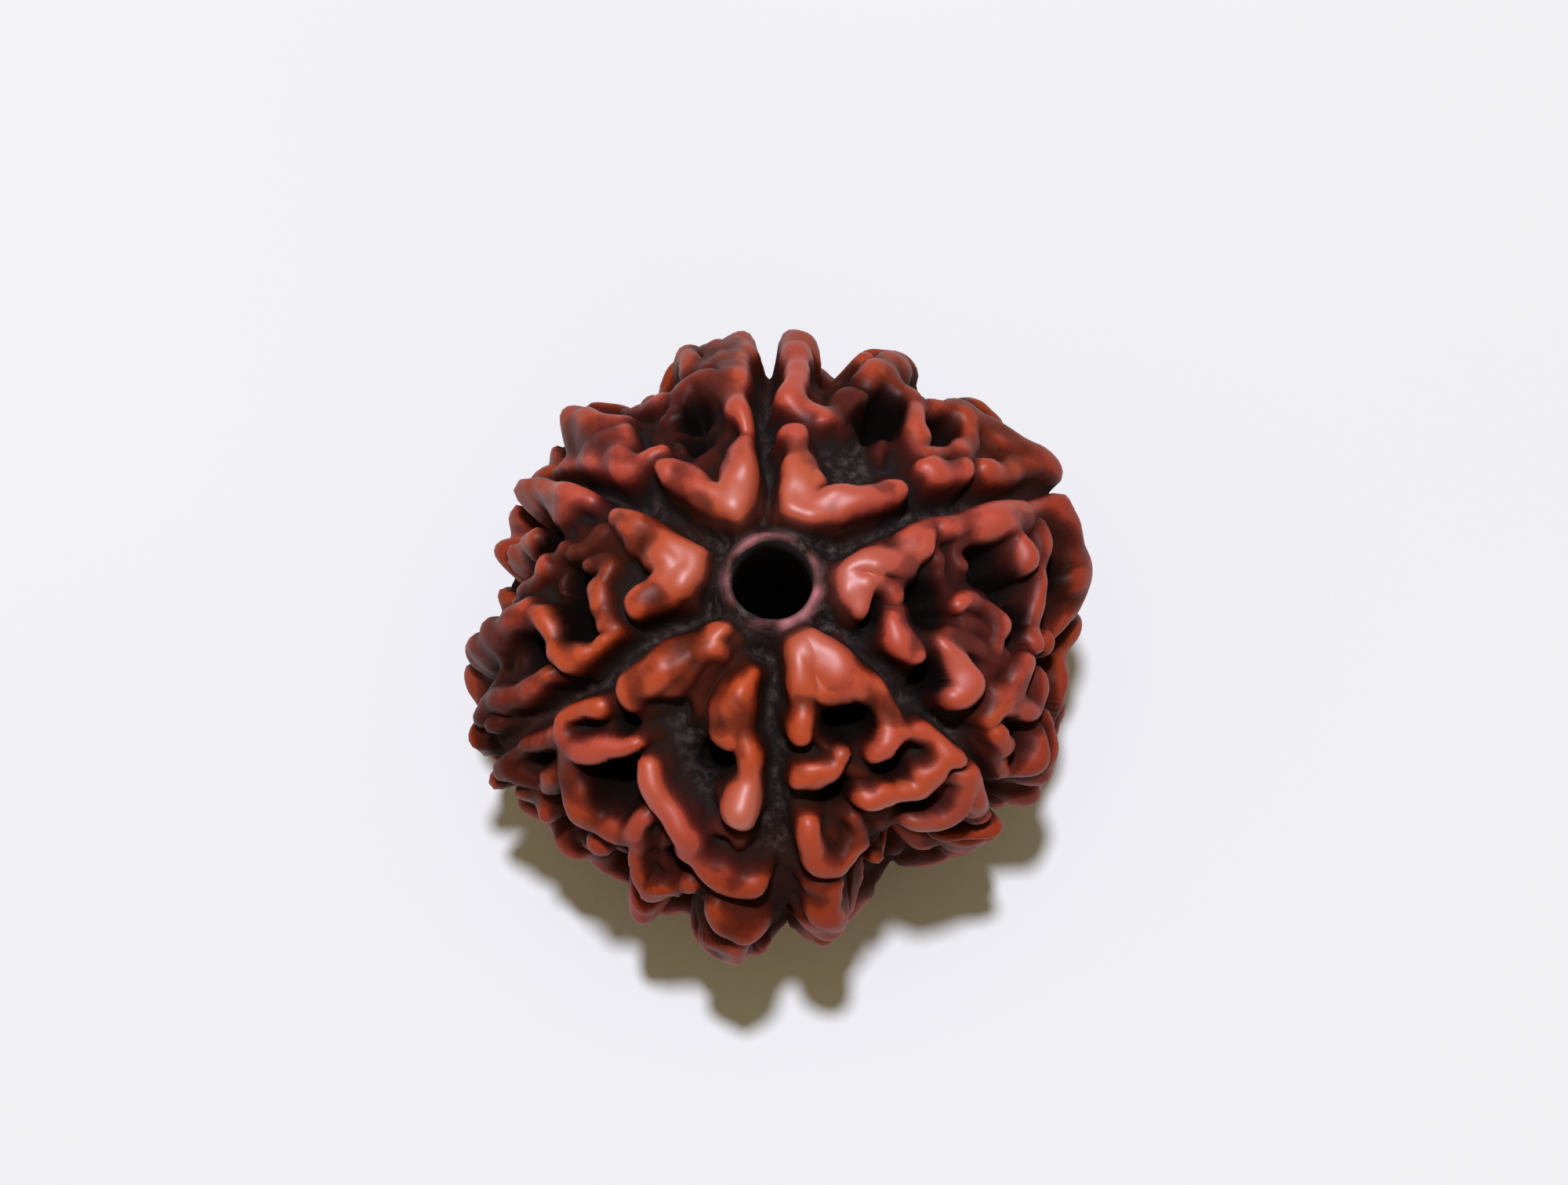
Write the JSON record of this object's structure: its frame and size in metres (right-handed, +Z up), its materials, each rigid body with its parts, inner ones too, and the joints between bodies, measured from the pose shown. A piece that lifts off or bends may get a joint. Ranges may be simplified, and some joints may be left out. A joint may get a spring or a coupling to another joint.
{
  "type": "rudraksha bead",
  "caption": "Round woody fruit-stone bead with a raised net of rounded ridges, deep grooves from pole to pole and a bore through its axis for a cord.",
  "frame": {"origin": "on the surface the bead rests on, under the axis of its bore", "axes": "+Z up along the bore; seen from above, +X is to the right of the picture and +Y to its top"},
  "size_m": [0.0198, 0.0203, 0.0156],
  "materials": {
    "polished_stone": "reddish brown, satin on the ridges and dark and matt in the valleys"
  },
  "bodies": {
    "root": {"rudraksha_bead": "polished_stone"}
  },
  "joints": []
}
